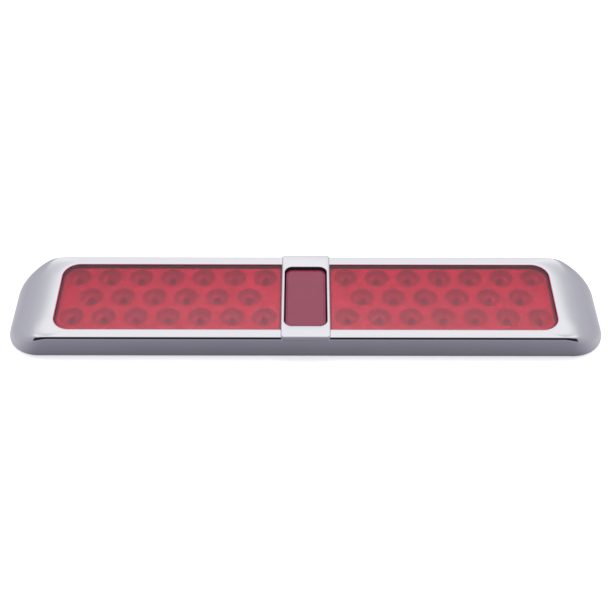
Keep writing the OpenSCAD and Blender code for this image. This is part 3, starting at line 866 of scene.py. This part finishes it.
def back_plate():
    """Plate with insert bosses, screw pads, board posts and ribs inside, and pockets for
    the screw heads and faint ejector marks outside."""

    def face(inset):
        return rounded_rect(PLATE_X - inset, PLATE_Y - inset, CORNER_R - 2.4 - inset, 20)

    under, sunk = PLATE_UNDER, FLOOR_Z - 0.5
    ends = [(-INSERT_X, 0), (INSERT_X, 0)]
    obj = raw_object("back_cover", soft_slab(face, under, FLOOR_Z, 0.35, 0.2, 4))
    boss = lathe([(0, 0), (4.75, 0), (5, 0.25), (5, BOSS_TOP), (0, BOSS_TOP)], 40)
    add(obj, at_places(boss, ends))
    for places, radius in ((PLATE_SCREWS, 3.2), (SADDLE_SCREWS, 3.9)):
        pad = peg(radius, sunk, HEAD_SEAT, 0.2)
        add(obj, at_places(pad, [(x, y * 0.99) for x, y in places]))
    along = [s * x for s in (-1, 1) for x in POST_X]
    post = peg(2.5, sunk, POST_TOP, 0.2)
    add(obj, at_places(post, [(x, y) for x in along for y in (POST_Y, -POST_Y)]))
    rib = prism(rounded_rect(0.8, POST_Y, 0.2, 3), sunk, RIB_TOP)
    add(obj, at_places(rib, [(x, 0) for x in along]))
    wide, narrow, seat = 3.0, 2.6, FLOOR_Z - 0.1
    profile = [(0, 0), (wide, 0), (wide, under - 0.01), (narrow, under + 0.4)]
    pocket = lathe(profile + [(narrow, seat), (0, seat)], 36)
    cut(obj, join(
        at_places(pocket, PLATE_SCREWS + SADDLE_SCREWS),
        at_places(peg(INSERT_R, -1, INSERT_TOP, n=36), ends),
        prism(rounded_rect(INLET_X + 0.2, INLET_Y + 0.2, 0.6, 5), 0, 10),
    ))
    mark = peg(2.5, under - 1, under + 0.12, n=32)
    cut(obj, at_places(mark, [(x, y) for x in (-120, -75, -35, 35, 75, 120) for y in (-12, 12)]))
    place(obj, "back_plate", 30)


def gasket():
    """Foam ring with pressed, rounded edges."""
    a, b, band, r, round_r = GASKET_HI[0], GASKET_HI[1], 6.0, 12.0, 0.3
    middle, half = (GASKET_LO[2] + GASKET_HI[2]) / 2, (GASKET_HI[2] - GASKET_LO[2]) / 2
    rings = []
    for start, base in ((-90, round_r), (90, band - round_r)):
        for g in np.radians(np.linspace(start, start + 180, 9)):
            inset = base - round_r * math.cos(g)
            outline = rounded_rect(a - inset, b - inset, r - inset, 16, 30)
            rings.append(at_height(outline, middle + half * math.sin(g)))
    piece("foam_gasket", skin(rings, loop=True), "mounting_gasket", 60)


def screw_shape(r, head_r, head_t, length):
    """Pan head screw pointing up: domed head with a cross recess, thread, blunt tip."""
    profile = [(0, -head_t), (head_r * 0.45, -head_t), (head_r * 0.8, -head_t * 0.86)]
    profile += [(head_r * 0.96, -head_t * 0.6), (head_r, -head_t * 0.35), (head_r, 0)]
    z, pitch, core = 0.15, 0.7, r * 0.78
    profile.append((core, 0.01))
    while z < length - pitch * 1.5:
        profile += [(core, z + pitch * 0.3), (r, z + pitch * 0.5), (core, z + pitch * 0.7)]
        z += pitch
    profile += [(r * 0.7, length - 0.5), (r * 0.35, length), (0, length)]
    return lathe(profile, 28)


def screws(name, node, places, length):
    """Screws at the given places, each turned differently, with their heads on the plate."""
    r, head_r, head_t = 1.25, 2.2, 1.6
    one = raw_object("one", screw_shape(r, head_r, head_t, length))
    arm, width, depth = head_r * 0.62, head_r * 0.13, head_t * 0.62
    for wide, deep in ((arm, width), (width, arm)):
        low = [(wide, -deep), (wide, deep), (-wide, deep), (-wide, -deep)]
        tip = [(x * 0.45, y * 0.45) if abs(x) > abs(y) else (x, y * 0.45) for x, y in low]
        levels = ((low, -head_t - 1), (low, -head_t), (tip, -head_t + depth))
        cut(one, skin([at_height(outline, z) for outline, z in levels]))
    mesh = one.data
    verts = [tuple(v.co / MM) for v in mesh.vertices]
    faces = [tuple(p.vertices) for p in mesh.polygons]
    bpy.data.objects.remove(one)
    turned = []
    for i, (x, y) in enumerate(places):
        g = math.radians(37 * i)
        c, s = math.cos(g), math.sin(g)
        spun = [(vx * c - vy * s, vx * s + vy * c, vz) for vx, vy, vz in verts]
        turned.append(moved((spun, faces), x, y, FLOOR_Z))
    piece(name, join(*turned), node, 30)


def inserts():
    """Brass inserts with a flange face, straight knurls and a cut thread."""
    n, knurl, waist = 72, 0.22, 0.5
    hole, outer, top = THREAD_R, INSERT_R, INSERT_TOP

    def ring(z, r, knurled=False):
        radii = [r - knurl if knurled and i % 3 == 0 else r for i in range(n)]
        angles = [2 * math.pi * i / n for i in range(n)]
        return [(q * math.cos(g), q * math.sin(g), z) for q, g in zip(radii, angles)]

    rings = [ring(0, outer - 0.2), ring(0.2, outer), ring(1.0, outer), ring(1.05, outer, True)]
    for z in (2.55, 5.55):
        rings += [ring(z, outer, True), ring(z + 0.05, outer - waist)]
        rings += [ring(z + 1.05, outer - waist), ring(z + 1.1, outer, True)]
    rings += [ring(top - 0.3, outer, True), ring(top, outer - 0.3), ring(top, hole + 0.3)]
    pitch = 0.8
    z = top - 0.3
    while z > pitch:
        rings += [ring(z, hole), ring(z - pitch / 2, hole + 0.35)]
        z -= pitch
    rings += [ring(0.5, hole), ring(0, hole + 0.5)]
    both = at_places(skin(rings, loop=True), [(-INSERT_X, 0), (INSERT_X, 0)])
    piece("brass_inserts", both, "mounting_inserts", 28)


def inlet():
    """Socket with an open mouth, slots for the blades, and a flange inside the plate."""
    brim, wall = 2.0, 1.8

    def body(inset):
        return rounded_rect(INLET_X - inset, INLET_Y - inset, 0.8, 5)

    def flange(inset):
        return rounded_rect(INLET_X + brim - inset, INLET_Y + brim - inset, 1.2, 5)

    obj = raw_object("inlet_body", soft_slab(body, INLET_LO[2], INLET_HI[2], 0.3, 0.2, 3))
    add(obj, soft_slab(flange, 3.4, 4.6, 0.1, 0.1, 2))
    cut(obj, prism(rounded_rect(INLET_X - wall, INLET_Y - wall, 0.7, 5), 0.5, 7.2))
    slot = prism(rounded_rect(0.4, 1.4, 0.05, 1), 5, 12)
    for s in (-1, 1):
        cut(obj, moved(slot, s * BLADE_X))
    place(obj, "power_inlet", 30)


def terminals():
    """Blades with pointed tips, bent outwards into solder tabs."""
    tip, top, tab_z = 2.6, 8.4, 8.9
    half_t, half_w = 0.4, 1.4

    def section(z, thin=1, narrow=1):
        w = half_w * narrow
        out, back = BLADE_X + half_t * thin, BLADE_X - half_t * thin
        return at_height([(out, -w), (out, w), (back, w), (back, -w)], z)

    blade = skin([section(tip, 0.35, 0.7), section(tip + 0.7), section(top), section(tab_z)])
    root, end_w = BLADE_X - half_t, half_w * 0.8
    tab = prism([(root, -half_w), (TAB_X, -end_w), (TAB_X, end_w), (root, half_w)], top, tab_z)
    shapes = [blade, mirrored(blade), tab, mirrored(tab)]
    piece("inlet_blades", join(*shapes), "inlet_terminals", 30)


# ---------------------------------------------------------------- what the CAD draws well


def keep_cad_nodes():
    """The pieces that stay CAD shapes, all sealed inside, get their real finish."""
    for name, obj in frame["nodes"].items():
        if obj.hide_render:
            continue
        obj.data.materials.clear()
        obj.data.materials.append(MATERIALS[SLOT_OF[name]])


# ------------------------------------------------------------------------------- stage


def camera():
    """A view from 45 degrees above the lens plane, square to the light."""
    distance, elevation, roll = 714.0, math.radians(45), 0.0018
    data = bpy.data.cameras.new("camera")
    data.lens = 67.09
    data.sensor_width = 36
    data.shift_x = -0.0028
    data.shift_y = -0.0136
    data.clip_start = 0.01
    obj = bpy.data.objects.new("camera", data)
    bpy.context.scene.collection.objects.link(obj)
    back, up = distance * math.cos(elevation), BODY_H + distance * math.sin(elevation)
    obj.location = (0, -back * MM, up * MM)
    tilt = Euler((math.pi / 2 - elevation, 0, 0)).to_matrix()
    obj.rotation_euler = (tilt @ Matrix.Rotation(roll, 3, "Z")).to_euler()
    bpy.context.scene.camera = obj


def floor():
    """A plain pale floor, just under the light and lit enough to look even."""
    s = Shader("floor", (0.93, 0.93, 0.93), 0.9)
    s.feed("Base Color", s.blend(s.noise(3, 2), (0.92, 0.92, 0.92), (0.94, 0.94, 0.94)))
    s.bsdf.inputs["Specular IOR Level"].default_value = 0.0
    s.bsdf.inputs["Emission Color"].default_value = (1, 1, 1, 1)
    s.bsdf.inputs["Emission Strength"].default_value = 0.28
    mesh = bpy.data.meshes.new("floor")
    corners = [(-1, -1), (1, -1), (1, 1), (-1, 1)]
    mesh.from_pydata([(3.0 * x, 3.0 * y, 0) for x, y in corners], [], [(0, 1, 2, 3)])
    obj = bpy.data.objects.new("floor", mesh)
    bpy.context.scene.collection.objects.link(obj)
    mesh.materials.append(s.material)
    obj.location.z = -0.0003
    obj.visible_glossy = False


def key_light():
    """A wide soft light from above and behind, aimed at the middle of the light."""
    data = bpy.data.lights.new("key", "AREA")
    data.shape = "RECTANGLE"
    data.size, data.size_y = 1.2, 0.8
    data.energy = 14
    obj = bpy.data.objects.new("key", data)
    bpy.context.scene.collection.objects.link(obj)
    x, y, z = 0.05, 0.5, 1.3
    obj.location = (x, y, z)
    length = math.sqrt(x * x + y * y + z * z)
    obj.rotation_euler = (math.acos(z / length), 0, math.atan2(-x, y) + math.pi)
    obj.visible_glossy = False


def world():
    """A pale studio: bright above, grey from the horizon down, darkest low in front."""
    w = bpy.data.worlds.new("studio")
    bpy.context.scene.world = w
    w.use_nodes = True
    tree = w.node_tree
    back = tree.nodes["Background"]
    coord = tree.nodes.new("ShaderNodeTexCoord")
    split = tree.nodes.new("ShaderNodeSeparateXYZ")
    tree.links.new(coord.outputs["Generated"], split.inputs[0])

    def ramp(value, stops):
        """Colours by height: each stop holds a value from -1 to 1 and its colour."""
        node = tree.nodes.new("ShaderNodeValToRGB")
        remap = tree.nodes.new("ShaderNodeMapRange")
        remap.inputs["From Min"].default_value = -1
        tree.links.new(value, remap.inputs["Value"])
        tree.links.new(remap.outputs["Result"], node.inputs["Fac"])
        points = node.color_ramp.elements
        while len(points) < len(stops):
            points.new(0.5)
        for point, (position, level) in zip(points, stops):
            point.position = (position + 1) / 2
            point.color = (*level, 1)
        return node.outputs["Color"]

    behind = ramp(split.outputs["Z"], [
        (-1.0, (0.45, 0.45, 0.50)), (-0.5, (0.62, 0.62, 0.67)), (-0.2, (0.53, 0.53, 0.58)),
        (0.1, (0.49, 0.49, 0.55)), (0.37, (0.53, 0.53, 0.58)), (0.53, (0.60, 0.61, 0.65)),
        (0.60, (0.74, 0.75, 0.78)), (0.67, (0.99, 1.0, 1.02)), (1.0, (1.03, 1.03, 1.05)),
    ])
    front = ramp(split.outputs["Z"], [
        (-1.0, (0.08, 0.08, 0.09)), (-0.75, (0.14, 0.135, 0.155)),
        (-0.70, (0.20, 0.195, 0.23)), (-0.64, (0.29, 0.28, 0.34)), (-0.5, (0.36, 0.36, 0.41)),
        (0.0, (0.44, 0.44, 0.49)), (0.5, (0.50, 0.50, 0.55)), (0.67, (0.72, 0.72, 0.76)),
        (1.0, (1.03, 1.03, 1.05)),
    ])
    side = tree.nodes.new("ShaderNodeMapRange")
    side.interpolation_type = "SMOOTHSTEP"
    side.inputs["From Min"].default_value = -0.75
    side.inputs["From Max"].default_value = 0.62
    tree.links.new(split.outputs["Y"], side.inputs["Value"])
    mix = tree.nodes.new("ShaderNodeMix")
    mix.data_type = "RGBA"
    tree.links.new(side.outputs["Result"], mix.inputs["Factor"])
    tree.links.new(front, mix.inputs["A"])
    tree.links.new(behind, mix.inputs["B"])
    tree.links.new(mix.outputs["Result"], back.inputs["Color"])
    back.inputs["Strength"].default_value = 1.0


def studio():
    bpy.context.scene.view_settings.view_transform = "Standard"
    world()
    floor()
    key_light()


camera()
housing()
saddle()
reflector()
for side_name in ("left", "right"):
    lens(side_name)
    cup_plate(side_name)
    lamps(side_name)
back_plate()
gasket()
screws("back_screws", "back_plate_screws", PLATE_SCREWS, 5)
screws("saddle_fixings", "saddle_screws", SADDLE_SCREWS, 6.5)
inserts()
inlet()
terminals()
keep_cad_nodes()
studio()
